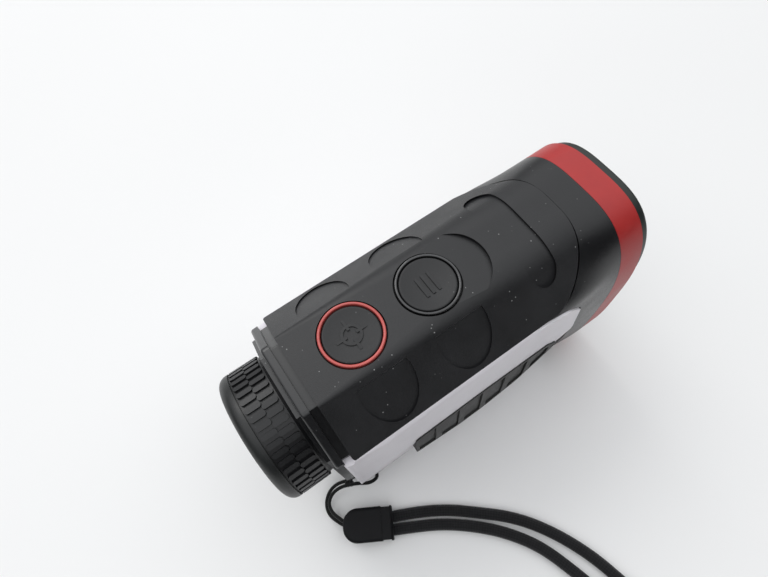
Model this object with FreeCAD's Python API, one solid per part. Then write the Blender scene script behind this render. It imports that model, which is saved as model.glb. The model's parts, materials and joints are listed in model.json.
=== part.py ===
import FreeCAD, Part
import math
import os

# Handheld laser rangefinder standing on its base, in millimetres.
# X is to the right, Y points forward along the line of sight and Z is up.
# The origin is the middle of the footprint, on the surface that the body stands on.

# Body shell: an eight-sided section with soft corners, given as right-hand corners (x, z, radius).
TOP_Z = 74.0
CREASE_X = 9.0
CREASE = (CREASE_X, TOP_Z, 2.5)
SHOULDER = (21.0, 62.0, 3.0)
WAIST = (21.75, 42.0, 40.0)
FOOT = (17.3, 0.0, 3.2)
WALL = 2.0

# Plan taper towards the eyepiece, as half widths.
TAPER_FRONT = (22.3, -13.0)
TAPER_REAR = (20.2, -38.0)

# Radius of the top creases, which soften towards the front.
SOFT_REAR = 1.2
SOFT_FRONT = 15.0

# Stations along Y.
SHELL_REAR = -38.5
TOP_REAR = -36.0
FRAME_FRONT = -38.0
FLANGE_REAR = -40.0
STEP_REAR = -41.0
SEAM_CENTRE = 13.0
SEAM_HALF_WIDTH = 21.1
SEAM_REACH = 21.8
SEAM_POWER = 2.6
PART_LINE_Z = 62.7
SIDE_REAR_Z = 60.5
GROOVE = 0.3

# Front barrel: a rounded oval section.
BARREL_HALF_WIDTH = 21.45
BARREL_HALF_HEIGHT = 36.8
BARREL_MID_Z = 36.85
BARREL_POWER = 3.08
BARREL_REAR = 14.0
TONGUE_REAR = 12.5
BARREL_NECK = 43.2
RING_FRONT = 50.5
BEZEL_FRONT = 53.5
RING_THICK = 1.2
BEZEL_INSET = 1.04
NECK_INNER = 2.6
SPIGOT_INNER = 3.9

# Line of sight and eyepiece.
SIGHT_Z = 49.7
EYE_REAR = -53.5
DIAL_RADIUS = 16.45
DIAL_REAR = -50.3
DIAL_FRONT = -41.25
LUG_HEIGHT = 0.55
LUG_COUNT = 46
LUG_WIDTH = 1.3
BOSS_RADIUS = 15.3
BOSS_BORE = 13.2
BOSS_REAR = -48.1
RUNNING_GAP = 0.06

# Buttons on the top facet.
MEASURE_Y = -21.9
MODE_Y = -1.6
BUTTON_RADIUS = 7.5
BUTTON_BORE = 7.85
CAP_RADIUS = 6.6
BOARD_TOP = 66.8

# Battery and its door.
BATTERY_Z = 17.0
BATTERY_RADIUS = 7.8
BATTERY_REAR = -35.9
BATTERY_LENGTH = 27.0
DOOR_HALF = 10.2
DOOR_LOW = 6.8
DOOR_HIGH = 27.2
HINGE_X = -12.0
HINGE_Y = -42.4
HINGE_LOW = 8.0
HINGE_HIGH = 26.0

# Lanyard hole through the rear right foot.
LUG_HOLE = 1.5
LUG_X = 14.4
LUG_Y = -32.8
LUG_Z = 6.0

# Side grips: the rear end of the hollows, and the ribs between them.
GRIP_REAR = -19.6
RIB_PITCH = 7.65
RIB_WIDTH = 2.1

# Finger dimples beside the buttons, by side.
DIMPLES = [(1, (-21.5, -1.2)), (-1, (-22.3, -1.7))]

V = FreeCAD.Vector
UP = V(0, 0, 1)
FORWARD = V(0, 1, 0)
RIGHT = V(1, 0, 0)


def xz(a, b):
    return V(a, 0, b)


def xy(a, b):
    return V(a, b, 0)


def yz(a, b):
    return V(0, a, b)


def rounded(corners, place):
    """A closed wire through corners (a, b, radius), each rounded by its radius."""
    count = len(corners)
    points = [place(a, b) for a, b, _ in corners]
    ends = []
    for i, (_, _, radius) in enumerate(corners):
        here = points[i]
        back = (points[i - 1] - here).normalize()
        ahead = (points[(i + 1) % count] - here).normalize()
        if radius == 0:
            ends.append((here, None, here))
            continue
        half = back.getAngle(ahead) / 2
        run = radius / math.tan(half)
        inward = (back + ahead).normalize()
        centre = here + inward * (radius / math.sin(half))
        ends.append((here + back * run, centre - inward * radius, here + ahead * run))
    edges = []
    for i, (start, middle, end) in enumerate(ends):
        if middle is not None:
            edges.append(Part.Arc(start, middle, end).toShape())
        following = ends[(i + 1) % count][0]
        if end.distanceToPoint(following) > 1e-6:
            edges.append(Part.LineSegment(end, following).toShape())
    return Part.Wire(edges)


def mirrored(right):
    """The right-hand corners followed by their mirror images."""
    return right + [(-a, b, r) for a, b, r in reversed(right)]


def plate(corners, place, start, end):
    """A rounded outline pushed along its normal from start to end."""
    normal = {xz: FORWARD, xy: UP, yz: RIGHT}[place]
    face = Part.Face(rounded(corners, place))
    face.translate(normal * start)
    return face.extrude(normal * (end - start))


def box(x0, x1, y0, y1, z0, z1):
    return Part.makeBox(x1 - x0, y1 - y0, z1 - z0, V(x0, y0, z0))


def rod(radius, start, end, axis, x=0.0, y=0.0, z=0.0):
    """A cylinder along an axis from start to end; the other two coordinates place it."""
    base = V(x, y, z) + axis * start
    return Part.makeCylinder(radius, end - start, base, axis)


def tube(outer, inner, start, end, axis, x=0.0, y=0.0, z=0.0):
    return rod(outer, start, end, axis, x, y, z).cut(rod(inner, start, end, axis, x, y, z))


def turned(profile, z=SIGHT_Z):
    """A solid turned about a line along Y from a closed profile of (radius, y)."""
    points = [V(radius, y, z) for radius, y in profile]
    face = Part.Face(Part.makePolygon(points + points[:1]))
    return face.revolve(V(0, 0, z), FORWARD, 360)


def joined(shapes):
    return shapes[0].multiFuse(shapes[1:]).removeSplitter()


def group(shapes):
    return Part.makeCompound(shapes)


# ---------------------------------------------------------------- body shell

def body_face(inset):
    face = Part.Face(rounded(mirrored([CREASE, SHOULDER, WAIST, FOOT]), xz))
    return face.makeOffset2D(-inset) if inset else face


def body_solid(inset, y0, y1, corner=0.0):
    """The body's outer form, drawn in by inset, between two stations; corner rounds its rear edges."""
    face = body_face(inset)
    face.translate(V(0, y0, 0))
    solid = face.extrude(V(0, y1 - y0, 0))
    if y0 > TAPER_FRONT[1] - 8:
        return solid
    slope = (TAPER_FRONT[0] - TAPER_REAR[0]) / (TAPER_FRONT[1] - TAPER_REAR[1])
    rear = TAPER_REAR[0] + slope * (y0 - TAPER_REAR[1])
    right = [
        (rear - inset, y0, corner),
        (TAPER_FRONT[0] - inset, TAPER_FRONT[1], 100.0),
        (TAPER_FRONT[0] - inset, max(y1, 0.0), 0),
    ]
    return solid.common(plate(mirrored(right), xy, -5, 80))


def skin(depth, y0, y1):
    """The layer between the body's surface and depth below it."""
    return body_solid(0, y0, y1).cut(body_solid(depth, y0 - 1, y1 + 1))


def soft_body(inset, y0, y1):
    """The body's outer form with top creases that soften from the rear to the front."""
    face = Part.Face(rounded(mirrored([(CREASE_X, TOP_Z, 0), SHOULDER, WAIST, FOOT]), xz))
    if inset:
        face = face.makeOffset2D(-inset)
    face.translate(V(0, y0, 0))
    solid = face.extrude(V(0, y1 - y0, 0))
    creases = [e for e in solid.Edges if e.BoundBox.ZMin > TOP_Z - inset - 0.01 and e.BoundBox.XLength < 0.01]
    radii = [soft_radius(y) - inset for y in (y0, y1)]
    for ends in (radii, radii[::-1]):
        softened = solid.makeFillet(ends[0], ends[1], creases).Solids[0]
        if softened.CenterOfMass.y < (y0 + y1) / 2:
            return softened
    return softened


def soft_radius(y):
    share = (y - TOP_REAR) / (BARREL_NECK - TOP_REAR)
    return SOFT_REAR + share * (SOFT_FRONT - SOFT_REAR)


def seam_plan(grow, rear):
    """Plan outline of the top shell, whose front is a blunt arch."""
    points = []
    steps = 24
    for i in range(steps + 1):
        t = math.pi / 2 * i / steps
        x = (SEAM_HALF_WIDTH + grow) * math.cos(t) ** (2 / SEAM_POWER)
        y = SEAM_CENTRE + (SEAM_REACH + grow) * math.sin(t) ** (2 / SEAM_POWER)
        points.append(V(x, y, 0))
    points += [V(-p.x, p.y, 0) for p in reversed(points[:-1])]
    arch = Part.BSplineCurve()
    arch.interpolate(points)
    first, last = points[0], points[-1]
    base = Part.makePolygon([last, V(last.x, rear, 0), V(first.x, rear, 0), first])
    return Part.Face(Part.Wire([arch.toShape()] + base.Edges))


def top_zone(grow):
    """Everything that lies within the top shell's outline and above the parting line."""
    face = seam_plan(grow, TOP_REAR)
    face.translate(V(0, 0, PART_LINE_Z - grow))
    return face.extrude(V(0, 0, 30))


def side_outline(grow):
    front = [
        (SHELL_REAR, -1.0, 0),
        (SHELL_REAR, SIDE_REAR_Z, 0),
        (TOP_REAR, SIDE_REAR_Z, 0),
        (TOP_REAR, PART_LINE_Z, 0),
        (14.0 + grow, PART_LINE_Z, 6.0),
        (25.5 + grow, 60.6 + grow, 6.0),
        (30.5 + grow, 55.6 + grow, 1.6),
        (31.4 + grow, 46.0, 20.0),
        (33.6 + grow, 30.0, 20.0),
        (34.6 + grow, 12.0, 0),
        (35.0 + grow, -1.0, 0),
    ]
    return front


def side_zone(grow):
    return plate(side_outline(grow), yz, -30, 30)


def dimple(centre_y, side):
    """Plan shape of a finger dimple: a circle with its inner part cut straight."""
    circle = rod(6.7, 40, 80, UP, side * 12.6, centre_y)
    low, high = sorted((side * 10.5, side * 25))
    return circle.common(box(low, high, centre_y - 9, centre_y + 9, 40, 80))


def stadium(half_length, half_width, centre_y):
    corners = [
        (half_length, centre_y - half_width, half_width - 0.01),
        (half_length, centre_y + half_width, half_width - 0.01),
        (-half_length, centre_y + half_width, half_width - 0.01),
        (-half_length, centre_y - half_width, half_width - 0.01),
    ]
    return plate(corners, xy, 40, 80)


def make_top_shell():
    outer = soft_body(0, TOP_REAR, 36).common(body_solid(0, TOP_REAR, 36, 1.0).fuse(top_wedge()))
    inner = body_solid(WALL, TOP_REAR - 2, 38)
    shell = outer.cut(inner).common(top_zone(0))
    marks = [dimple(y, side) for side, places in DIMPLES for y in places]
    shell = shell.cut(group(marks).common(skin(0.35, TOP_REAR, 36)))
    slot_layer = soft_body(0, 5, 36).cut(soft_body(0.6, 5, 36))
    shell = shell.cut(stadium(14.8, 3.75, 22.3).common(slot_layer))
    shell = shell.cut(mode_recess())
    posts = [tube(1.9, 0.8, BOARD_TOP, TOP_Z - 1.5, UP, x, y) for x, y in board_posts()]
    shell = joined([shell] + posts)
    for y in (MEASURE_Y, MODE_Y):
        shell = shell.cut(rod(BUTTON_BORE, 65, 80, UP, 0, y))
        shell = shell.cut(tube(9.3, 0.1, 70.2, 72.6, UP, 0, y).common(box(-12, 12, -40, 20, 70.2, 72.05)))
    return shell


def top_wedge():
    """Fills out the constant crease, so that only the softened one shapes the shell."""
    corners = [(6.0, TOP_Z, 0), (CREASE_X, TOP_Z, 0), (12.0, TOP_Z - 3.0, 0), (6.0, TOP_Z - 3.0, 0)]
    side = plate(corners, xz, TOP_REAR, 36)
    return side.fuse(side.mirror(V(0, 0, 0), RIGHT))


def mode_recess():
    """Round recess in front of the mode button, deepest at its front edge."""
    disc = rod(9.3, 0, 10, UP)
    disc.rotate(V(0, 0, 0), RIGHT, -3.2)
    disc.translate(V(0, 4.7, TOP_Z - 0.42))
    return disc


def board_posts():
    return [(side * 6.6, y) for side in (-1, 1) for y in (-32.8, 9.6)]


def grip_outline(grow):
    return [
        (-20.8 - grow, 43.2 + grow, 1.2),
        (0.0, 44.0 + grow, 60.0),
        (22.8 + grow, 43.2 + grow, 2.0),
        (27.6 + grow, 37.4, 1.2),
        (26.0 + grow, 34.5 - grow, 4.0),
        (14.0, 27.0 - grow, 12.0),
        (3.0, 23.8 - grow, 20.0),
        (-20.6 - grow, 23.8 - grow, 1.2),
    ]


def make_side_shell(side):
    """One white half: wall, screw posts and the pocket for its grip."""
    half = box(0, 30, -60, 60, -1, 80) if side > 0 else box(-30, 0, -60, 60, -1, 80)
    outer = body_solid(0, SHELL_REAR, 37, 1.8)
    shell = outer.cut(body_solid(WALL, SHELL_REAR - 2, 39)).common(side_zone(0))
    parts = [shell.common(half)]
    for y in (-28.0, 24.0):
        parts.append(rod(2.9, 1.0, 10.0, UP, side * 12.4, y))
    if side > 0:
        corner = box(11.2, 22, SHELL_REAR, -29.2, 1, 10.0)
        parts.append(corner.common(body_solid(0.5, SHELL_REAR, 37, 1.0)))
    shell = joined(parts)
    for y in (-28.0, 24.0):
        shell = shell.cut(rod(2.4, -1, 3.0, UP, side * 12.4, y))
        shell = shell.cut(rod(1.2, -1, 12.0, UP, side * 12.4, y))
    if side > 0:
        shell = shell.cut(rod(LUG_HOLE, LUG_X, 25, RIGHT, 0, LUG_Y, LUG_Z))
        shell = shell.cut(rod(LUG_HOLE, -45, LUG_Y, FORWARD, LUG_X, 0, LUG_Z))
        shell = shell.cut(Part.makeSphere(LUG_HOLE, V(LUG_X, LUG_Y, LUG_Z)))
    shell = shell.cut(foot_corner(side))
    low, high = sorted((side * 12.0, side * 30.0))
    pocket = plate(grip_outline(0), yz, low, high).common(skin(1.0, -30, 36))
    return shell.cut(pocket)


def foot_corner(side):
    """What the rounded rear corner of a foot leaves away, so that the lanyard runs round it."""
    radius = 4.6
    x, y = 17.9 - radius, SHELL_REAR + radius
    cutter = box(x, 22, SHELL_REAR - 1, y, -1, 11).cut(rod(radius, -2, 12, UP, x, y))
    return cutter if side > 0 else cutter.mirror(V(0, 0, 0), RIGHT)


def grip_block():
    """A grip's outer form: an upright face, fullest at mid length, that stands out as the body narrows."""
    section = plate([(12, 20, 0), (12, 48, 0), (21.85, 48, 0), (22.8, 20, 0)], xz, -23, 30)
    plan = [(12, -23, 0), (21.9, -23, 0), (22.8, -3, 60.0), (22.7, 12, 60.0), (21.8, 30, 0), (12, 30, 0)]
    return section.common(plate(plan, xy, 19, 49))


def make_grip():
    """The right-hand grip, with upright ribs left between its hollows."""
    block = grip_block()
    grip = block.common(plate(grip_outline(-0.05), yz, 12, 30)).cut(body_solid(1.0, -31, 37))
    floor = block.copy()
    floor.translate(V(-0.55, 0, 0))
    hollows = []
    for i in range(7):
        y0 = GRIP_REAR + RIB_PITCH * i
        y1 = y0 + RIB_PITCH - RIB_WIDTH
        hollows.append(plate([(y0, 20, 0), (y1, 20, 0), (y1 - 0.8, 50, 0), (y0 - 0.8, 50, 0)], yz, 12, 30))
    hollows = group(hollows).common(plate(grip_outline(-1.0), yz, 12, 30))
    return grip.cut(hollows.common(block.cut(floor)))


# -------------------------------------------------------------- front barrel

def half_section(share, inset):
    """Points from the foot to the crown, blended from the body's section (0) to the oval (1)."""
    right = [(0, 0, 0), FOOT, WAIST, (*SHOULDER[:2], 6.0), (CREASE_X, TOP_Z, 13.0), (0, TOP_Z, 0)]
    wire = rounded(right, xz)
    face = Part.Face(wire)
    count = 44
    points = []
    centre = V(0, 0, BARREL_MID_Z)
    for i in range(count + 1):
        t = -math.pi / 2 + math.pi * i / count
        oval_x = BARREL_HALF_WIDTH * abs(math.cos(t)) ** (2 / BARREL_POWER)
        oval_z = BARREL_HALF_HEIGHT * math.copysign(abs(math.sin(t)) ** (2 / BARREL_POWER), math.sin(t))
        heading = V(oval_x, 0, oval_z).normalize()
        ray = Part.makeLine(centre, centre + heading * 60)
        reach = ray.common(face).Length if 0 < i < count else BARREL_MID_Z
        if i == count:
            reach = TOP_Z - BARREL_MID_Z
        oval = math.hypot(oval_x, oval_z)
        away = (1 - share) * (reach - 0.35) + share * oval - inset
        points.append(centre + heading * away)
    return points


def closed_section(share, inset, y):
    right = half_section(share, inset)
    points = right + [V(-p.x, 0, p.z) for p in reversed(right[1:-1])]
    curve = Part.BSplineCurve()
    curve.interpolate(points, PeriodicFlag=True)
    wire = Part.Wire([curve.toShape()])
    wire.translate(V(0, y, 0))
    return wire


def oval_face(inset):
    return Part.Face(closed_section(1.0, inset, 0))


def oval_solid(inset, y0, y1):
    face = oval_face(inset)
    face.translate(V(0, y0, 0))
    return face.extrude(V(0, y1 - y0, 0))


BLEND = [(BARREL_REAR, 0.0), (18.0, 0.0), (26.0, 0.04), (33.0, 0.42), (38.5, 0.82), (BARREL_NECK, 1.0)]


def blended_solid(inset):
    return Part.makeLoft([closed_section(share, inset, y) for y, share in BLEND], True, False)


def make_front_barrel():
    outer = blended_solid(0).cut(group([top_zone(GROOVE), side_zone(GROOVE)]))
    neck = oval_solid(RING_THICK, BARREL_NECK, RING_FRONT)
    tongue = body_solid(WALL, TONGUE_REAR, 38)
    solid = joined([outer, neck, tongue])
    hollow = joined([
        body_solid(WALL + 1.6, TONGUE_REAR - 1, 38),
        oval_solid(NECK_INNER + 1.3, 36, 44),
        oval_solid(NECK_INNER, 43.9, 60),
    ])
    solid = solid.cut(hollow)
    for x, y in post_places():
        if y > 0:
            solid = solid.cut(rod(3.1, -1, 40, UP, x, y))
    return solid


def make_red_ring():
    ring = oval_solid(0, BARREL_NECK + 0.08, RING_FRONT - 0.02)
    return ring.cut(oval_solid(RING_THICK, BARREL_NECK - 1, RING_FRONT + 1))


def make_bezel():
    rim = oval_solid(BEZEL_INSET, RING_FRONT, BEZEL_FRONT)
    lip = [edge for edge in rim.Edges if edge.BoundBox.YMin > BEZEL_FRONT - 0.01]
    rim = rim.makeFillet(0.9, lip)
    spigot = oval_solid(NECK_INNER, 46.5, RING_FRONT)
    return joined([rim, spigot]).cut(oval_solid(SPIGOT_INNER, 40, 60))


# ------------------------------------------------------------------ eyepiece

def make_rear_frame():
    flange = body_solid(0.8, FLANGE_REAR, FRAME_FRONT)
    rear = [edge for edge in flange.Edges if edge.BoundBox.YMax < FLANGE_REAR + 0.01]
    flange = flange.makeFillet(0.7, rear).common(box(-30, 30, -50, 0, SIDE_REAR_Z, 80))
    inset_flange = body_solid(WALL, SHELL_REAR, FRAME_FRONT).common(box(-30, 30, -50, 0, -1, SIDE_REAR_Z + 1))
    step = body_solid(3.0, STEP_REAR, SHELL_REAR + 0.5)
    tenon = body_solid(WALL, FRAME_FRONT, -35.0).cut(body_solid(WALL + 1.4, -39, -34))
    boss = rod(BOSS_RADIUS, BOSS_REAR, FRAME_FRONT, FORWARD, z=SIGHT_Z)
    sleeve = rod(BOSS_BORE + 1.4, FRAME_FRONT, -31.0, FORWARD, z=SIGHT_Z)
    knuckles = [hinge_knuckle(HINGE_LOW, 12.8), hinge_knuckle(21.2, HINGE_HIGH)]
    frame = joined([flange, inset_flange, step, tenon, boss, sleeve] + knuckles)
    frame = frame.cut(rod(BOSS_BORE, -60, -20, FORWARD, z=SIGHT_Z))
    frame = frame.cut(rod(0.6, HINGE_LOW - 1, HINGE_HIGH + 1, UP, HINGE_X, HINGE_Y))
    half, low, high = DOOR_HALF + 0.3, DOOR_LOW - 0.3, DOOR_HIGH + 0.3
    opening = plate(mirrored([(half, low, 2.3), (half, high, 2.3)]), xz, -42, -37)
    frame = frame.cut(opening)
    frame = frame.cut(rod(LUG_HOLE + 1.4, -42, -34, FORWARD, LUG_X, 0, LUG_Z))
    frame = frame.cut(box(LUG_X, 25, -42, -34, LUG_Z - 2.9, LUG_Z + 2.9))
    frame = frame.cut(box(11.1, 25, SHELL_REAR, -34, -1, 10.6))
    for angle in (0, 180):
        slot = box(BOSS_BORE - 1, BOSS_RADIUS + 1, -46.0, -42.6, SIGHT_Z - 0.85, SIGHT_Z + 0.85)
        slot.rotate(V(0, 0, SIGHT_Z), FORWARD, angle)
        frame = frame.cut(slot)
    return frame


def hinge_knuckle(low, high):
    """A barrel of the hinge with its web to the frame."""
    web = box(HINGE_X - 1.3, HINGE_X + 0.9, HINGE_Y, -40.9, low, high)
    return rod(1.3, low, high, UP, HINGE_X, HINGE_Y).fuse(web)


def lug(y0, y1):
    """One raised grip lug lying along the dial, at its crown."""
    half = LUG_WIDTH / 2
    top = SIGHT_Z + DIAL_RADIUS + LUG_HEIGHT
    radius = half - 0.02
    outline = [(-half, y0, radius), (half, y0, radius), (half, y1, radius), (-half, y1, radius)]
    return plate(outline, xy, SIGHT_Z + DIAL_RADIUS - 1.0, top)


def make_diopter_ring():
    inner = BOSS_RADIUS + RUNNING_GAP
    ring = turned([
        (inner, DIAL_FRONT), (inner, -48.3), (11.6, -48.3), (11.6, DIAL_REAR),
        (DIAL_RADIUS, DIAL_REAR), (DIAL_RADIUS, -42.0), (DIAL_RADIUS - 0.3, DIAL_FRONT),
    ])
    lugs = []
    for i in range(LUG_COUNT):
        front = lug(-46.2, -42.3)
        front.rotate(V(0, 0, SIGHT_Z), FORWARD, 360 * i / LUG_COUNT)
        rear = lug(-49.9, -46.0)
        rear.rotate(V(0, 0, SIGHT_Z), FORWARD, 360 * (i + 0.5) / LUG_COUNT)
        lugs += [front, rear]
    return ring.multiFuse(lugs)


def make_eyecup():
    cup = turned([
        (12.4, DIAL_REAR), (17.0, DIAL_REAR), (17.0, EYE_REAR), (13.2, EYE_REAR),
        (11.6, -51.4), (11.6, DIAL_REAR),
    ])
    rim = [e for e in cup.Edges if abs(e.BoundBox.YMax - EYE_REAR) < 0.01 and e.BoundBox.XMax > 16]
    return cup.makeFillet(2.6, rim)


def make_ocular_cell():
    outer = BOSS_BORE - RUNNING_GAP
    cell = turned([
        (outer, -47.0), (10.2, -47.0), (9.4, -46.0), (9.4, -45.2), (10.6, -45.2), (10.6, -32.0),
        (outer, -32.0),
    ])
    pins = []
    for angle in (0, 180):
        pin = rod(0.75, BOSS_BORE - 1, BOSS_RADIUS - 0.15, RIGHT, 0, -44.3, SIGHT_Z)
        pin.rotate(V(0, 0, SIGHT_Z), FORWARD, angle)
        pins.append(pin)
    return joined([cell] + pins)


def lens(radius, y_back, y_front, bulge_back, bulge_front, z=SIGHT_Z):
    """A round lens with curved faces, standing on the line of sight."""
    body = rod(radius, y_back, y_front, FORWARD, z=z)
    for face_y, bulge, way in ((y_back, bulge_back, 1), (y_front, bulge_front, -1)):
        ball = (radius ** 2 + bulge ** 2) / (2 * bulge)
        body = body.common(Part.makeSphere(ball, V(0, face_y + way * ball, z)))
    return body


def make_ocular_retainer():
    return turned([(10.55, -41.4), (10.55, -40.6), (8.9, -40.6), (8.9, -41.4)]).cut(
        box(-0.6, 0.6, -43, -40, SIGHT_Z, SIGHT_Z + 20))


# ------------------------------------------------------------------- buttons

def make_button(y, icon):
    """A dished cap with a raised icon, its flange under the shell and its stem over the switch."""
    cap = rod(CAP_RADIUS, 71.0, TOP_Z + 0.1, UP, 0, y)
    rim = [edge for edge in cap.Edges if edge.BoundBox.ZMin > TOP_Z]
    cap = cap.makeFillet(0.35, rim)
    ball = 34.0
    dish = Part.makeSphere(ball, V(0, y, TOP_Z - 0.45 + ball))
    cap = cap.cut(dish)
    marks = icon(y).common(rod(CAP_RADIUS - 1, TOP_Z - 0.8, TOP_Z - 0.02, UP, 0, y))
    flange = rod(8.6, 70.95, 71.9, UP, 0, y)
    stem = rod(2.2, BOARD_TOP + 3.3, 71.0, UP, 0, y)
    return joined([cap, marks, flange, stem])


def target_icon(y):
    """A plain sighting mark: a ring with four short ticks."""
    top, base = TOP_Z - 0.12, TOP_Z - 1.0
    parts = [tube(2.5, 1.85, base, top, UP, 0, y)]
    for angle in range(0, 360, 90):
        tick = box(1.2, 3.9, y - 0.33, y + 0.33, base, top)
        tick.rotate(V(0, y, 0), UP, angle)
        parts.append(tick)
    return joined(parts)


def list_icon(y):
    """Three plain bars."""
    top, base = TOP_Z - 0.12, TOP_Z - 1.0
    return group([box(-2.6, 2.6, y + d - 0.36, y + d + 0.36, base, top) for d in (-1.6, 0.0, 1.6)])


def make_button_ring(y, proud):
    """The bright hoop round a cap, pressed on to its flange."""
    hoop = rod(BUTTON_RADIUS, 71.9, TOP_Z + proud, UP, 0, y)
    hoop = hoop.cut(rod(CAP_RADIUS + 0.2, 70, 80, UP, 0, y))
    edges = [e for e in hoop.Edges if e.BoundBox.ZMin > TOP_Z + proud - 0.01]
    return hoop.makeFillet(0.3, edges)


def make_switch(y):
    body = box(-3.0, 3.0, y - 3.0, y + 3.0, BOARD_TOP, BOARD_TOP + 1.7)
    return joined([body, rod(1.5, BOARD_TOP + 1.7, BOARD_TOP + 2.4, UP, 0, y)])


def make_button_board():
    board = box(-8.6, 8.6, -34.2, 11.0, BOARD_TOP - 1.2, BOARD_TOP)
    for x, y in board_posts():
        board = board.cut(rod(0.8, 60, 70, UP, x, y))
    return board


def screw(x, y, head_z, tip_z, head_radius, shaft_radius):
    """A pan-head screw driven upwards, with a cross recess in its head."""
    head = rod(head_radius, head_z, head_z + 1.4, UP, x, y)
    shaft = rod(shaft_radius, head_z + 1.4, tip_z, UP, x, y)
    whole = head.fuse(shaft)
    arm = head_radius * 0.6
    for cross in (box(x - arm, x + arm, y - 0.25, y + 0.25, head_z - 1, head_z + 0.7),
                  box(x - 0.25, x + 0.25, y - arm, y + arm, head_z - 1, head_z + 0.7)):
        whole = whole.cut(cross)
    return whole


# ------------------------------------------------------------ optics, inside

def post_places():
    return [(side * 12.4, y) for side in (-1, 1) for y in (-28.0, 24.0)]


def make_chassis():
    """The box that carries the optics, on four legs over the case screws."""
    tray = box(-13.0, 13.0, -29.0, 33.5, 36.6, 62.8)
    tray = tray.cut(box(-11.6, 11.6, -30.0, 32.0, 38.0, 61.4))
    tray = tray.cut(rod(10.0, 20, 40, FORWARD, z=SIGHT_Z))
    tray = tray.cut(rod(9.5, 58, 70, UP, 0, 16))
    legs = [rod(2.8, 10.0, 38.0, UP, x, y) for x, y in post_places()]
    chassis = joined([tray] + legs)
    chassis = chassis.cut(box(-11.6, 11.6, -30.0, 32.0, 38.0, 61.4))
    for x, y in post_places():
        chassis = chassis.cut(rod(1.0, 9, 20, UP, x, y))
    return chassis


def make_prism():
    profile = [
        (-16.0, 41.0, 0), (2.0, 41.0, 0), (8.0, 47.0, 0),
        (8.0, 58.0, 0), (-10.0, 58.0, 0), (-16.0, 52.0, 0),
    ]
    return plate(profile, yz, -8.5, 8.5)


def make_prism_holder():
    """A cradle below and beside the prism."""
    base = box(-11.6, 11.6, -15.0, 1.0, 38.0, 41.0)
    cheeks = [box(8.5, 11.6, -15.0, 1.0, 41.0, 55.0), box(-11.6, -8.5, -15.0, 1.0, 41.0, 55.0)]
    return joined([base] + cheeks)


def make_display():
    frame = box(-11.6, 11.6, -22.5, -20.5, 38.0, 61.4).cut(box(-7.5, 7.5, -23, -20, 42.5, 57.0))
    return frame


def make_display_glass():
    return box(-7.5, 7.5, -21.9, -21.1, 42.5, 57.0)


def make_lens_plate():
    """Black plate behind the bezel, with both windows and their tubes."""
    face = oval_solid(SPIGOT_INNER, 46.6, 49.0)
    sight_tube = rod(14.4, 33.5, 46.6, FORWARD, z=SIGHT_Z)
    laser_tube = rod(9.2, 33.5, 46.6, FORWARD, z=20.0)
    body = joined([face, sight_tube, laser_tube])
    body = body.cut(rod(13.0, 30, 45.4, FORWARD, z=SIGHT_Z)).cut(rod(13.4, 45.4, 60, FORWARD, z=SIGHT_Z))
    body = body.cut(rod(7.8, 30, 45.4, FORWARD, z=20.0)).cut(rod(8.3, 45.4, 60, FORWARD, z=20.0))
    return body


def make_window_ring(radius, z):
    ring = turned([(radius + 1.3, 49.0), (radius + 1.3, 49.9), (radius - 0.9, 49.6), (radius - 0.9, 48.7),
                   (radius, 48.7), (radius, 49.0)], z)
    for angle in (0, 180):
        notch = box(radius - 2, radius + 2, 49.3, 51, z - 0.6, z + 0.6)
        notch.rotate(V(0, 0, z), FORWARD, angle)
        ring = ring.cut(notch)
    return ring


def make_laser_module():
    """Emitter tube with its diode can at the rear."""
    sleeve = turned([(7.8, 45.2), (7.8, 14.0), (4.0, 14.0), (4.0, 17.0), (6.6, 19.0), (6.6, 45.2)], 20.0)
    return sleeve


def make_laser_diode():
    can = joined([rod(4.0, 13.4, 17.0, FORWARD, z=20.0), rod(4.7, 12.4, 14.0, FORWARD, z=20.0)])
    legs = [rod(0.3, 8.5, 12.5, FORWARD, x, 0, 20.0 + z) for x, z in ((-1.3, 0), (1.3, 0), (0, 1.3))]
    return joined([can] + legs)


def make_receiver():
    """Light sensor beside the prism, on a small board."""
    board = box(-7.5, 7.5, 12.0, 13.2, 39.2, 60.2)
    can = rod(4.2, 9.2, 12.0, FORWARD, z=SIGHT_Z)
    feet = box(-7.5, 7.5, 11.0, 14.2, 38.0, 39.2)
    return joined([board, can, feet])


def make_main_board():
    board = box(-14.2, 14.2, -31.0, 38.0, 30.6, 32.0)
    for x, y in post_places():
        board = board.cut(rod(2.8, 20, 40, UP, x, y))
    return board


def make_board_parts():
    """Chips, a crystal can and capacitors on the main board."""
    chips = [(-9.0, -14.0, 10.0, 10.0, 1.4), (4.0, -16.0, 7.0, 7.0, 1.2), (-8.0, 4.0, 6.0, 9.0, 1.6),
             (3.0, 0.0, 5.0, 4.0, 1.0), (4.0, 10.0, 6.0, 3.0, 2.2), (-7.0, 18.0, 4.0, 8.0, 2.0)]
    return group([box(x, x + w, y, y + d, 32.0, 32.0 + h) for x, y, w, d, h in chips])


# ------------------------------------------------------------------- battery

def make_cradle():
    """Open trough for the cell, with a wall for the spring and a floor rib."""
    trough = tube(9.2, BATTERY_RADIUS + 0.2, -34.0, -6.0, FORWARD, z=BATTERY_Z)
    trough = trough.cut(box(-12, 12, -40, 0, BATTERY_Z + 3.0, 40))
    wall = rod(9.2, -6.0, -4.6, FORWARD, z=BATTERY_Z)
    rib = box(-1.2, 1.2, -34.0, -4.6, WALL, BATTERY_Z - 8.6)
    rib = rib.cut(rod(BATTERY_RADIUS + 0.2, -40, 0, FORWARD, z=BATTERY_Z))
    return joined([trough, wall, rib])


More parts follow.
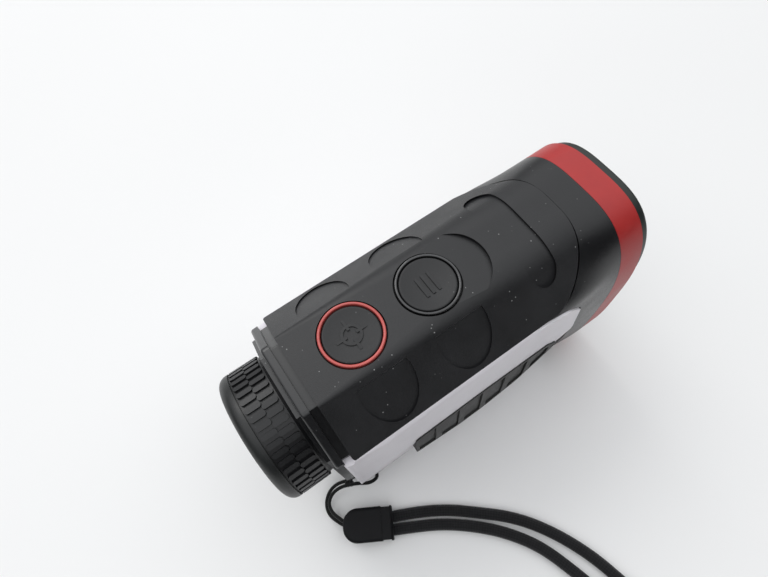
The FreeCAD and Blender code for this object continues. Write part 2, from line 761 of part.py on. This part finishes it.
def make_battery():
    can = rod(BATTERY_RADIUS, BATTERY_REAR, BATTERY_REAR + BATTERY_LENGTH - 0.9, FORWARD, z=BATTERY_Z)
    rims = [e for e in can.Edges if abs(e.BoundBox.YMax - e.BoundBox.YMin) < 0.01]
    can = can.makeFillet(0.8, rims)
    button = rod(3.2, BATTERY_REAR + 1, BATTERY_REAR + BATTERY_LENGTH, FORWARD, z=BATTERY_Z)
    return joined([can, button])


def make_contact_spring():
    """Coil spring pressed against the cell's front button."""
    wire, coil, pitch, height = 0.3, 2.8, 0.95, 2.2
    start = -6.3 - height
    helix = Part.makeHelix(pitch, height, coil)
    section = Part.Wire(Part.makeCircle(wire, V(coil, 0, 0), V(0, 1, 0)))
    spring = Part.Wire(helix.Edges).makePipeShell([section], True, True)
    spring.rotate(V(0, 0, 0), RIGHT, -90)
    spring.translate(V(0, start, BATTERY_Z))
    return spring


def make_door():
    """Battery door with its hinge arm, inner rib and finger scoop."""
    panel = plate(mirrored([(DOOR_HALF, DOOR_LOW, 2.0), (DOOR_HALF, DOOR_HIGH, 2.0)]), xz, -41.3, -39.2)
    outer = [e for e in panel.Edges if e.BoundBox.YMax < -41.29]
    panel = panel.makeFillet(0.5, outer)
    spigot = rod(5.0, -39.2, -36.7, FORWARD, z=BATTERY_Z)
    barrel = rod(1.3, 13.0, 21.0, UP, HINGE_X, HINGE_Y)
    arm = box(HINGE_X, -8.0, -43.4, -41.1, 13.0, 21.0)
    door = joined([panel, spigot, barrel, arm])
    door = door.cut(rod(0.6 + RUNNING_GAP, 10, 24, UP, HINGE_X, HINGE_Y))
    door = door.cut(rod(4.0, 13.5, 20.5, UP, 10.4, -44.4))
    ribs = [box(-5.0, 5.0, -41.9, -41.2, z - 0.45, z + 0.45) for z in (14.5, 17.0, 19.5)]
    return joined([door] + ribs)


def make_gasket():
    outer = plate(mirrored([(9.6, 7.4, 1.8), (9.6, 26.6, 1.8)]), xz, -39.2, -38.5)
    return outer.cut(plate(mirrored([(8.6, 8.4, 1.2), (8.6, 25.6, 1.2)]), xz, -40, -38))


def make_contact_plate():
    disc = rod(4.0, -36.7, -36.1, FORWARD, z=BATTERY_Z)
    return joined([disc, rod(1.4, -36.2, BATTERY_REAR - 0.02, FORWARD, z=BATTERY_Z)])


# --------------------------------------------------------------------- cords

LANYARD_THICK = 1.1
LANYARD = [
    (24.6, -49.6, 2.3), (21.6, -51.4, 2.2), (18.0, -52.1, 2.2), (14.9, -50.6, 2.4), (13.0, -47.6, 2.9),
    (13.1, -44.3, 4.0), (14.6, -41.2, 5.4), (14.4, -37.4, 6.0), (14.6, -33.6, 6.0), (16.9, -32.7, 6.0),
    (19.1, -33.6, 6.0), (18.9, -36.7, 6.1), (17.1, -39.2, 6.3), (15.6, -42.2, 6.1), (14.5, -45.2, 5.2),
    (14.7, -48.2, 4.2), (16.4, -50.4, 3.7), (18.9, -50.9, 3.6), (21.8, -50.0, 3.6), (24.8, -48.6, 3.7),
]
STRAP_THICK = 3.4
STRAP = [
    (29.0, -40.0, 1.8), (32.4, -32.0, 1.8), (38.2, -21.7, 1.8), (45.2, -13.4, 1.8), (51.2, -6.7, 1.8),
    (57.8, -1.5, 1.8), (65.6, 2.9, 1.8), (74.3, 6.4, 1.8), (84.0, 8.6, 1.8), (96.0, 12.0, 1.8),
    (110.0, 18.0, 1.8), (124.0, 27.0, 1.8), (140.0, 30.0, 1.8), (152.0, 21.0, 1.8), (150.0, 6.0, 1.8),
    (136.0, -1.5, 1.8), (120.0, -1.5, 1.8), (104.0, 2.0, 1.8), (88.0, 3.0, 1.8), (73.6, -0.9, 1.8),
    (62.3, -4.7, 1.8), (53.4, -10.9, 1.8), (46.9, -17.4, 1.8), (41.0, -24.8, 1.8), (36.4, -33.0, 1.8),
    (32.0, -41.6, 1.8),
]


def bend_radius(a, b, c):
    """Radius of the arc that joins two runs of a route, and the turn between them."""
    back, ahead = a - b, c - b
    turn = math.pi - back.getAngle(ahead)
    run = 0.45 * min(back.Length, ahead.Length)
    return run / math.tan(turn / 2), turn


def route_wire(route):
    """Straight runs joined by tangent arcs."""
    points = [V(*p) for p in route]
    edges = []
    start = points[0]
    for a, b, c in zip(points, points[1:], points[2:]):
        run = 0.45 * min((a - b).Length, (c - b).Length)
        back = (a - b).normalize()
        ahead = (c - b).normalize()
        enter, leave = b + back * run, b + ahead * run
        half = back.getAngle(ahead) / 2
        inward = (back + ahead).normalize()
        radius = run * math.tan(half)
        middle = b + inward * (radius / math.sin(half) - radius)
        edges.append(Part.LineSegment(start, enter).toShape())
        edges.append(Part.Arc(enter, middle, leave).toShape())
        start = leave
    edges.append(Part.LineSegment(start, points[-1]).toShape())
    return Part.Wire(edges)


def make_cord(name, route, thick):
    """A round cord along a route; its radii and volume are printed for checking."""
    points = [V(*p) for p in route]
    radii = [bend_radius(a, b, c)[0] for a, b, c in zip(points, points[1:], points[2:])]
    turns = [math.degrees(bend_radius(a, b, c)[1]) for a, b, c in zip(points, points[1:], points[2:])]
    wire = route_wire(route)
    heading = (points[1] - points[0]).normalize()
    section = Part.Wire(Part.makeCircle(thick / 2, points[0], heading))
    cord = wire.makePipeShell([section], True, True)
    expected = math.pi * thick ** 2 / 4 * wire.Length
    print(name, "length", round(wire.Length, 1), "tightest", round(min(radii), 2),
          "most turn", round(max(turns), 1), "volume share", round(cord.Volume / expected, 4))
    return cord


KNOT = (15.2, -41.6, 5.6)


def make_knot():
    """A tight overhand knot, as three short fat turns."""
    turns = []
    middle = V(*KNOT)
    for shift, axis in ((V(0, -0.6, -0.1), V(0.3, -0.9, -0.1)), (V(0.4, 0.3, 0.2), V(0.9, 0.3, 0.4)),
                        (V(-0.4, 0, -0.1), V(-0.3, 0.6, 0.7))):
        turns.append(Part.makeTorus(0.85, 0.5, middle + shift, axis))
    return joined(turns + [Part.makeSphere(0.95, middle)])


BOOT_REAR = (24.6, -50.2)
BOOT_FRONT = (32.1, -37.1)
BOOT_HEIGHT = 6.4
BOOT_HALF = 4.9


def make_boot():
    """Moulded clamp over the strap's two ends: rounded at the lanyard, square at the strap."""
    length = math.dist(BOOT_REAR, BOOT_FRONT)
    heading = math.degrees(math.atan2(BOOT_FRONT[1] - BOOT_REAR[1], BOOT_FRONT[0] - BOOT_REAR[0]))
    half = BOOT_HALF
    outline = [(0, -half, half - 0.4), (length, -half, 0.3), (length, half, 0.3), (0, half, half - 0.4)]
    plan = plate(outline, xy, 0.1, BOOT_HEIGHT)
    edges = [e for e in plan.Edges if e.BoundBox.ZMin > BOOT_HEIGHT - 0.01]
    body = plan.makeFillet(1.1, edges)
    rear, front, wide = length - 3.4, length - 0.6, half + 0.25
    band = box(rear, front, -wide, wide, 0.1, BOOT_HEIGHT + 0.1)
    band = band.cut(box(rear - 1, front + 1, -half + 0.3, half - 0.3, -1, BOOT_HEIGHT - 0.3))
    body = body.cut(band)
    body.rotate(V(0, 0, 0), UP, heading)
    body.translate(V(BOOT_REAR[0], BOOT_REAR[1], 0))
    return body


def build():
    lanyard = make_cord("lanyard", LANYARD, LANYARD_THICK)
    strap = make_cord("strap", STRAP, STRAP_THICK)
    knot = make_knot()
    boot = make_boot()
    return {
        "top_shell": make_top_shell(),
        "right_shell": make_side_shell(1),
        "left_shell": make_side_shell(-1),
        "front_barrel": make_front_barrel(),
        "red_ring": make_red_ring(),
        "front_bezel": make_bezel(),
        "right_grip": make_grip(),
        "left_grip": make_grip().mirror(V(0, 0, 0), RIGHT),
        "rear_frame": make_rear_frame(),
        "diopter_ring": make_diopter_ring(),
        "eyecup": make_eyecup(),
        "ocular_cell": make_ocular_cell(),
        "ocular_lens": lens(10.5, -45.2, -41.4, 1.1, 1.1),
        "ocular_retainer": make_ocular_retainer(),
        "measure_button": make_button(MEASURE_Y, target_icon),
        "measure_ring": make_button_ring(MEASURE_Y, 0.45),
        "mode_button": make_button(MODE_Y, list_icon),
        "mode_ring": make_button_ring(MODE_Y, 0.3),
        "button_switches": group([make_switch(MEASURE_Y), make_switch(MODE_Y)]),
        "button_board": make_button_board(),
        "board_screws": group([screw(x, y, BOARD_TOP - 2.6, TOP_Z - 3.6, 1.5, 0.8) for x, y in board_posts()]),
        "case_screws": group([screw(x, y, 1.6, 16.0, 2.2, 1.0) for x, y in post_places()]),
        "optical_chassis": make_chassis(),
        "prism_block": make_prism(),
        "prism_holder": make_prism_holder(),
        "display_frame": make_display(),
        "display_glass": make_display_glass(),
        "receiver_module": make_receiver(),
        "lens_plate": make_lens_plate(),
        "objective_lens": lens(13.35, 45.4, 48.6, 0.7, 1.1),
        "objective_ring": make_window_ring(13.35, SIGHT_Z),
        "emitter_lens": lens(8.25, 45.4, 48.6, 0.5, 0.9, 20.0),
        "emitter_ring": make_window_ring(8.25, 20.0),
        "laser_module": make_laser_module(),
        "laser_diode": make_laser_diode(),
        "main_board": make_main_board(),
        "board_parts": make_board_parts(),
        "battery_cradle": make_cradle(),
        "battery": make_battery(),
        "contact_spring": make_contact_spring(),
        "battery_door": make_door(),
        "door_gasket": make_gasket(),
        "contact_plate": make_contact_plate(),
        "door_pin": rod(0.6, HINGE_LOW, HINGE_HIGH, UP, HINGE_X, HINGE_Y),
        "lanyard_cord": lanyard.cut(boot),
        "lanyard_knot": knot,
        "strap_boot": boot,
        "wrist_strap": strap.cut(boot),
    }


os.makedirs("parts", exist_ok=True)
for name, shape in build().items():
    solids = shape.Solids
    state = "" if shape.isValid() and solids else "  CHECK"
    print(name, "solids", len(solids), "volume", round(shape.Volume, 1), state)
    shape.exportStep("parts/" + name + ".step")
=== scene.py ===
import json
import math

import bpy
from mathutils import Matrix, Vector


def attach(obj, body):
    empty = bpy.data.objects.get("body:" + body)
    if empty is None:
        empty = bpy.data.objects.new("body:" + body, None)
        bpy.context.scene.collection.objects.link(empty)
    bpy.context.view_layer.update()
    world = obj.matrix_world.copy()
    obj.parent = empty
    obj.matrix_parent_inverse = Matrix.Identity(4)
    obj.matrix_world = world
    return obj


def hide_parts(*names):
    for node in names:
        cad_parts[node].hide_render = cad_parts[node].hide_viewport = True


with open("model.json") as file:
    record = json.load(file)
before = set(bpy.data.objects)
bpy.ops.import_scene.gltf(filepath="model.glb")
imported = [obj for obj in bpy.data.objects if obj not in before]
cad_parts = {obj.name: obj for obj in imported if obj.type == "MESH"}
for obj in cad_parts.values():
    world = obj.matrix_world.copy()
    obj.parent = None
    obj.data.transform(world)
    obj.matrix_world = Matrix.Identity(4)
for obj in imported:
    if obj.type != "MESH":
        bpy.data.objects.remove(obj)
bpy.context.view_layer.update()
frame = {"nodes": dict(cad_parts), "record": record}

# Camera: where it stands (metres, row frame) and how it is turned (degrees).
CAMERA_PLACE = (0.0399, -0.03394, 0.18076)
CAMERA_AZIMUTH = 61.95
CAMERA_ELEVATION = 64.63
CAMERA_ROLL = -7.34
CAMERA_LENS = 24.99

# Cords: route points in millimetres, and round sections.
MM = 0.001
LANYARD_THICK = 1.1
LANYARD = [
    (24.6, -49.6, 2.3), (21.6, -51.4, 2.2), (18.0, -52.1, 2.2), (14.9, -50.6, 2.4), (13.0, -47.6, 2.9),
    (13.1, -44.3, 4.0), (14.6, -41.2, 5.4), (14.4, -37.4, 6.0), (14.6, -33.6, 6.0), (16.9, -32.7, 6.0),
    (19.1, -33.6, 6.0), (18.9, -36.7, 6.1), (17.1, -39.2, 6.3), (15.6, -42.2, 6.1), (14.5, -45.2, 5.2),
    (14.7, -48.2, 4.2), (16.4, -50.4, 3.7), (18.9, -50.9, 3.6), (21.8, -50.0, 3.6), (24.8, -48.6, 3.7),
]
KNOT = (15.2, -41.6, 5.6)
KNOT_SIZE = 0.34
STRAP_THICK = 3.4
STRAP_FLATNESS = 0.86
STRAP = [
    (29.0, -40.0, 1.8), (32.4, -32.0, 1.8), (38.2, -21.7, 1.8), (45.2, -13.4, 1.8), (51.2, -6.7, 1.8),
    (57.8, -1.5, 1.8), (65.6, 2.9, 1.8), (74.3, 6.4, 1.8), (84.0, 8.6, 1.8), (96.0, 12.0, 1.8),
    (110.0, 18.0, 1.8), (124.0, 27.0, 1.8), (140.0, 30.0, 1.8), (152.0, 21.0, 1.8), (150.0, 6.0, 1.8),
    (136.0, -1.5, 1.8), (120.0, -1.5, 1.8), (104.0, 2.0, 1.8), (88.0, 3.0, 1.8), (73.6, -0.9, 1.8),
    (62.3, -4.7, 1.8), (53.4, -10.9, 1.8), (46.9, -17.4, 1.8), (41.0, -24.8, 1.8), (36.4, -33.0, 1.8),
    (32.0, -41.6, 1.8),
]


# ---------------------------------------------------------------- materials

class Nodes:
    """Short ways to add and join the nodes of one material."""

    def __init__(self, name):
        self.material = bpy.data.materials.new(name)
        self.material.use_nodes = True
        self.tree = self.material.node_tree
        self.shader = self.tree.nodes["Principled BSDF"]

    def add(self, kind, **settings):
        node = self.tree.nodes.new(kind)
        for key, value in settings.items():
            setattr(node, key, value)
        return node

    def join(self, source, target):
        self.tree.links.new(source, target)

    def place(self, source="Object"):
        return self.add("ShaderNodeTexCoord").outputs[source]

    def noise(self, vector, scale, detail):
        node = self.add("ShaderNodeTexNoise")
        node.inputs["Scale"].default_value = scale
        node.inputs["Detail"].default_value = detail
        node.inputs["Roughness"].default_value = 0.55
        self.join(vector, node.inputs["Vector"])
        return node.outputs["Fac"]

    def cells(self, vector, scale):
        node = self.add("ShaderNodeTexVoronoi")
        node.inputs["Scale"].default_value = scale
        self.join(vector, node.inputs["Vector"])
        return node.outputs["Distance"]

    def spread(self, value, low, high, out_low=0.0, out_high=1.0):
        node = self.add("ShaderNodeMapRange")
        node.inputs["From Min"].default_value = low
        node.inputs["From Max"].default_value = high
        node.inputs["To Min"].default_value = out_low
        node.inputs["To Max"].default_value = out_high
        self.join(value, node.inputs["Value"])
        return node.outputs["Result"]

    def maths(self, operation, a, b):
        node = self.add("ShaderNodeMath", operation=operation)
        for slot, value in ((0, a), (1, b)):
            if isinstance(value, (int, float)):
                node.inputs[slot].default_value = value
            else:
                self.join(value, node.inputs[slot])
        return node.outputs[0]

    def mix(self, share, a, b):
        node = self.add("ShaderNodeMix", data_type="RGBA")
        self.join(share, node.inputs["Factor"])
        for slot, value in ((6, a), (7, b)):
            if isinstance(value, tuple):
                node.inputs[slot].default_value = (*value, 1)
            else:
                self.join(value, node.inputs[slot])
        return node.outputs[2]

    def bump(self, height, depth, strength=1.0):
        node = self.add("ShaderNodeBump")
        node.inputs["Strength"].default_value = strength
        node.inputs["Distance"].default_value = depth
        self.join(height, node.inputs["Height"])
        self.join(node.outputs["Normal"], self.shader.inputs["Normal"])

    def set(self, **values):
        for key, value in values.items():
            self.shader.inputs[key.replace("_", " ")].default_value = value


def moulded(name, dark, light, rough, grain_mm, depth_mm, dust=0.0, specular=0.5, coat=0.0):
    """Moulded plastic: mottled colour, fine grain and, where asked, specks of dust."""
    n = Nodes(name)
    where = n.place()
    broad = n.noise(where, 90, 4)
    fine = n.noise(where, 1000 / grain_mm, 2)
    colour = n.mix(n.spread(broad, 0.35, 0.65), dark, light)
    if dust:
        specks = n.cells(where, 560)
        sparse = n.spread(n.noise(where, 150, 3), 0.50, 0.58)
        seen = n.maths("MULTIPLY", n.spread(specks, 0.10, 0.06), sparse)
        colour = n.mix(n.maths("MULTIPLY", seen, dust), colour, (0.35, 0.35, 0.35))
    n.join(colour, n.shader.inputs["Base Color"])
    wear = n.spread(n.maths("ADD", broad, fine), 0.7, 1.3, rough - 0.06, rough + 0.08)
    n.join(wear, n.shader.inputs["Roughness"])
    n.bump(fine, depth_mm * MM)
    n.set(Specular_IOR_Level=specular, Coat_Weight=coat, Coat_Roughness=0.12)
    return n.material


def metal(name, colour, rough):
    """Plated metal with fine clouding."""
    n = Nodes(name)
    clouds = n.noise(n.place(), 900, 3)
    n.join(n.mix(clouds, tuple(c * 0.8 for c in colour), colour), n.shader.inputs["Base Color"])
    n.join(n.spread(clouds, 0.3, 0.7, rough - 0.05, rough + 0.1), n.shader.inputs["Roughness"])
    n.bump(clouds, 0.004 * MM)
    n.set(Metallic=1.0)
    return n.material


def glass(name, tint, coating):
    """Coated optical glass, dark at first sight with a coloured sheen."""
    n = Nodes(name)
    haze = n.noise(n.place(), 60, 3)
    smoky = tuple(c * 0.86 for c in tint)
    n.join(n.mix(n.spread(haze, 0.3, 0.7), tint, smoky), n.shader.inputs["Base Color"])
    n.join(n.spread(haze, 0.3, 0.7, 0.02, 0.05), n.shader.inputs["Roughness"])
    n.bump(haze, 0.01 * MM, 0.2)
    n.set(Transmission_Weight=0.9, IOR=1.5, Coat_Weight=0.6, Coat_Roughness=0.03, Coat_Tint=(*coating, 1))
    return n.material


def board_green(name):
    """Circuit board with faint tracks under its mask."""
    n = Nodes(name)
    where = n.place()
    tracks = n.add("ShaderNodeTexBrick")
    tracks.inputs["Scale"].default_value = 300
    n.join(where, tracks.inputs["Vector"])
    lines = tracks.outputs["Fac"]
    n.join(n.mix(lines, (0.01, 0.09, 0.04), (0.03, 0.2, 0.1)), n.shader.inputs["Base Color"])
    n.bump(lines, 0.03 * MM)
    n.set(Roughness=0.35)
    return n.material


def woven(name, dark, light, across, along):
    """A tube's braid, from its UV map: u runs round it and v along it, in turns and metres."""
    n = Nodes(name)
    uv = n.place("UV")
    split = n.add("ShaderNodeSeparateXYZ")
    n.join(uv, split.inputs[0])
    u = n.maths("MULTIPLY", split.outputs[0], across)
    v = n.maths("MULTIPLY", split.outputs[1], along)
    left = n.maths("SINE", n.maths("MULTIPLY", n.maths("ADD", u, v), 2 * math.pi), 0)
    right = n.maths("SINE", n.maths("MULTIPLY", n.maths("SUBTRACT", u, v), 2 * math.pi), 0)
    braid = n.spread(n.maths("MULTIPLY", left, right), -1, 1)
    fuzz = n.noise(n.place(), 2600, 3)
    height = n.maths("ADD", braid, n.maths("MULTIPLY", fuzz, 0.5))
    # Colour follows the braid's relief: the low parts of the weave are painted darker as painted shade in its
    # grooves, and the fuzz adds real random tone on top.
    n.join(n.mix(n.spread(height, 0.3, 1.2), dark, light), n.shader.inputs["Base Color"])
    n.join(n.spread(fuzz, 0.3, 0.7, 0.7, 0.9), n.shader.inputs["Roughness"])
    n.bump(height, 0.08 * MM)
    n.set(Sheen_Weight=0.25, Sheen_Roughness=0.5, Specular_IOR_Level=0.25)
    return n.material


def table_top():
    n = Nodes("table_top")
    where = n.place()
    shade = n.spread(n.noise(where, 3, 2), 0.3, 0.7)
    n.join(n.mix(shade, (0.83, 0.825, 0.82), (0.86, 0.855, 0.85)), n.shader.inputs["Base Color"])
    n.bump(n.noise(where, 900, 2), 0.01 * MM)
    n.set(Roughness=0.6, Specular_IOR_Level=0.3)
    return n.material


# Moulded slots: dark and light colour, roughness, grain size and depth in millimetres, and extras.
MOULDED = {
    "shell_black": ((0.0075, 0.0075, 0.0085), (0.0115, 0.0115, 0.013), 0.44, 0.22, 0.03, {"dust": 0.8}),
    "shell_white": ((0.80, 0.77, 0.81), (0.84, 0.81, 0.85), 0.36, 0.30, 0.004, {}),
    "barrel_gloss": ((0.004, 0.004, 0.005), (0.006, 0.006, 0.007), 0.34, 0.5, 0.002, {"dust": 0.25}),
    "ring_red": ((0.36, 0.014, 0.014), (0.42, 0.020, 0.018), 0.42, 0.25, 0.006, {}),
    "bezel": ((0.008, 0.011, 0.010), (0.012, 0.016, 0.014), 0.40, 0.3, 0.01, {}),
    "grip_rubber": ((0.010, 0.010, 0.0095), (0.018, 0.018, 0.017), 0.55, 0.18, 0.02, {}),
    "frame_black": ((0.005, 0.005, 0.006), (0.009, 0.009, 0.010), 0.34, 0.25, 0.008,
                    {"dust": 0.35, "coat": 0.3}),
    "dial": ((0.006, 0.006, 0.007), (0.011, 0.011, 0.012), 0.40, 0.25, 0.010, {"dust": 0.25}),
    "eyecup": ((0.007, 0.0075, 0.0075), (0.011, 0.012, 0.012), 0.42, 0.35, 0.006, {}),
    "cell": ((0.012, 0.012, 0.013), (0.02, 0.02, 0.022), 0.38, 0.2, 0.01, {}),
    "cap": ((0.008, 0.008, 0.009), (0.012, 0.012, 0.013), 0.52, 0.20, 0.03, {"dust": 0.25}),
    "hoop_red": ((0.48, 0.075, 0.065), (0.56, 0.095, 0.082), 0.32, 0.3, 0.004, {"coat": 0.3}),
    "hoop_dark": ((0.010, 0.010, 0.011), (0.016, 0.016, 0.017), 0.18, 0.3, 0.002, {"coat": 0.8}),
    "chips": ((0.02, 0.02, 0.02), (0.035, 0.035, 0.035), 0.5, 0.2, 0.01, {}),
    "inner": ((0.02, 0.02, 0.021), (0.03, 0.03, 0.031), 0.6, 0.3, 0.02, {}),
    "battery": ((0.05, 0.12, 0.3), (0.07, 0.16, 0.38), 0.4, 0.4, 0.005, {}),
    "gasket": ((0.2, 0.03, 0.025), (0.28, 0.05, 0.04), 0.6, 0.3, 0.01, {}),
    "boot": ((0.002, 0.002, 0.003), (0.004, 0.004, 0.005), 0.55, 0.3, 0.006, {"specular": 0.2}),
}


def material_set():
    made = {slot: moulded(slot, *values, **extras) for slot, (*values, extras) in MOULDED.items()}
    made["optic"] = glass("optic", (0.75, 0.82, 0.90), (0.55, 0.75, 0.65))
    made["board"] = board_green("board")
    made["screws"] = metal("screws", (0.5, 0.5, 0.52), 0.3)
    made["diode"] = metal("diode", (0.75, 0.6, 0.3), 0.25)
    made["spring"] = metal("spring", (0.65, 0.65, 0.66), 0.28)
    made["cord"] = woven("cord", (0.002, 0.002, 0.002), (0.010, 0.010, 0.010), 4, 900)
    made["strap"] = woven("strap", (0.003, 0.003, 0.004), (0.010, 0.010, 0.011), 8, 620)
    return made


def dress(materials):
    """Gives every CAD node the material of its slot."""
    slots = {part["node"]: part["material_slot"] for part in frame["record"]["subparts"]}
    for node, obj in frame["nodes"].items():
        material = materials[slots[node]]
        obj.data.materials.clear()
        obj.data.materials.append(material)


# -------------------------------------------------------------------- cords

def route_points(name, route):
    """Even points along the smooth curve that a route controls."""
    curve = bpy.data.curves.new(name + "_route", "CURVE")
    curve.dimensions = "3D"
    spline = curve.splines.new("NURBS")
    spline.points.add(len(route) - 1)
    for point, place in zip(spline.points, route):
        point.co = (*(c * MM for c in place), 1)
    spline.order_u = 3
    spline.use_endpoint_u = True
    spline.resolution_u = 14
    holder = bpy.data.objects.new(name + "_route", curve)
    bpy.context.scene.collection.objects.link(holder)
    bpy.context.view_layer.update()
    line = bpy.data.meshes.new_from_object(holder)
    points = [v.co.copy() for v in line.vertices]
    bpy.data.objects.remove(holder)
    bpy.data.meshes.remove(line)
    return points


def tube(name, points, width, height, material, sides):
    """A soft tube with an oval section along points, with UVs for its braid."""
    up = Vector((0, 0, 1))
    rings = []
    run = 0.0
    runs = []
    for i, here in enumerate(points):
        before = points[max(i - 1, 0)]
        after = points[min(i + 1, len(points) - 1)]
        heading = (after - before).normalized()
        across = heading.cross(up)
        if across.length < 0.2:
            across = Vector((1, 0, 0))
        across.normalize()
        rise = across.cross(heading).normalized()
        run += (here - before).length
        runs.append(run)
        rings.append([
            here + across * (width / 2 * math.cos(2 * math.pi * k / sides))
            + rise * (height / 2 * math.sin(2 * math.pi * k / sides))
            for k in range(sides)
        ])
    mesh = bpy.data.meshes.new(name)
    vertices = [v for ring in rings for v in ring] + [points[0], points[-1]]
    faces = []
    for i in range(len(rings) - 1):
        for k in range(sides):
            a, b = i * sides + k, i * sides + (k + 1) % sides
            faces.append((a, a + sides, b + sides, b))
    last = (len(rings) - 1) * sides
    for k in range(sides):
        faces.append((k, (k + 1) % sides, len(vertices) - 2))
        faces.append((last + (k + 1) % sides, last + k, len(vertices) - 1))
    mesh.from_pydata(vertices, [], faces)
    layer = mesh.uv_layers.new(name="along")
    quads = (len(rings) - 1) * sides
    for index, face in enumerate(mesh.polygons):
        face.use_smooth = True
        if index >= quads:
            continue
        i, k = divmod(index, sides)
        corners = ((k, runs[i]), (k, runs[i + 1]), (k + 1, runs[i + 1]), (k + 1, runs[i]))
        for loop, (turn, along) in zip(face.loop_indices, corners):
            layer.data[loop].uv = (turn / sides, along)
    mesh.validate()
    mesh.update()
    obj = bpy.data.objects.new(name, mesh)
    bpy.context.scene.collection.objects.link(obj)
    mesh.materials.append(material)
    return obj


def make_knot(materials):
    """The lanyard's overhand knot: three crossing turns pulled tight into a small ball."""
    steps = 90
    points = []
    for step in range(steps + 1):
        t = 2 * math.pi * step / steps
        turn = Vector((math.sin(t) + 2 * math.sin(2 * t), math.cos(t) - 2 * math.cos(2 * t), 1.5 * math.sin(3 * t)))
        points.append((Vector(KNOT) + turn * KNOT_SIZE) * MM)
    knot = tube("knot", points, LANYARD_THICK * MM, LANYARD_THICK * MM, materials["cord"], 12)
    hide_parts("lanyard_knot")
    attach(knot, "housing")
    return knot


def make_cords(materials):
    """The thin lanyard and the wrist strap, laid where their CAD tubes lie."""
    thin = route_points("lanyard", LANYARD)
    lanyard = tube("lanyard", thin, LANYARD_THICK * MM, LANYARD_THICK * MM, materials["cord"], 12)
    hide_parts("lanyard_cord")
    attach(lanyard, "housing")
    make_knot(materials)
    soft = route_points("strap", STRAP)
    strap = tube("strap", soft, STRAP_THICK * MM, STRAP_THICK * STRAP_FLATNESS * MM, materials["strap"], 24)
    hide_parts("wrist_strap")
    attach(strap, "housing")


# -------------------------------------------------------------------- stage

def make_floor():
    half = 1.5
    mesh = bpy.data.meshes.new("table")
    mesh.from_pydata([(-half, -half, 0), (half, -half, 0), (half, half, 0), (-half, half, 0)], [], [(0, 1, 2, 3)])
    mesh.materials.append(table_top())
    floor = bpy.data.objects.new("table", mesh)
    bpy.context.scene.collection.objects.link(floor)


def area_light(name, place, aim, size, power, colour):
    light = bpy.data.lights.new(name, "AREA")
    light.shape = "DISK"
    light.size = size
    light.energy = power
    light.color = colour
    lamp = bpy.data.objects.new(name, light)
    lamp.location = place
    lamp.rotation_euler = (Vector(aim) - Vector(place)).to_track_quat("-Z", "Y").to_euler()
    bpy.context.scene.collection.objects.link(lamp)


def make_lights():
    world = bpy.data.worlds.new("studio")
    bpy.context.scene.world = world
    world.use_nodes = True
    tree = world.node_tree
    background = tree.nodes["Background"]
    background.inputs["Color"].default_value = (0.96, 0.98, 1.0, 1)
    direction = tree.nodes.new("ShaderNodeTexCoord")
    split = tree.nodes.new("ShaderNodeVectorMath")
    split.operation = "DOT_PRODUCT"
    split.inputs[1].default_value = (-0.30, 0.06, 0.95)
    height = tree.nodes.new("ShaderNodeMapRange")
    height.interpolation_type = "SMOOTHSTEP"
    height.inputs["From Min"].default_value = 0.24
    height.inputs["From Max"].default_value = 0.78
    height.inputs["To Min"].default_value = 0.05
    height.inputs["To Max"].default_value = 1.40
    tree.links.new(direction.outputs["Generated"], split.inputs[0])
    tree.links.new(split.outputs["Value"], height.inputs["Value"])
    tree.links.new(height.outputs["Result"], background.inputs["Strength"])
    area_light("key", (-0.75, -0.05, 0.95), (0, 0, 0.04), 0.6, 2.6, (1.0, 0.985, 0.96))


def make_camera():
    a, e, r = (math.radians(v) for v in (CAMERA_AZIMUTH, CAMERA_ELEVATION, CAMERA_ROLL))
    back = Vector((math.sin(a) * math.cos(e), -math.cos(a) * math.cos(e), math.sin(e)))
    level = Vector((math.cos(a), math.sin(a), 0))
    rise = back.cross(level)
    right = level * math.cos(r) + rise * math.sin(r)
    up = rise * math.cos(r) - level * math.sin(r)
    data = bpy.data.cameras.new("camera")
    data.lens = CAMERA_LENS
    data.sensor_width = 36.0
    data.clip_start = 0.01
    camera = bpy.data.objects.new("camera", data)
    camera.matrix_world = Matrix.Translation(CAMERA_PLACE) @ Matrix((right, up, back)).transposed().to_4x4()
    bpy.context.scene.collection.objects.link(camera)
    bpy.context.scene.camera = camera


bpy.context.scene.view_settings.view_transform = "Standard"
materials = material_set()
dress(materials)
make_cords(materials)
make_floor()
make_lights()
make_camera()
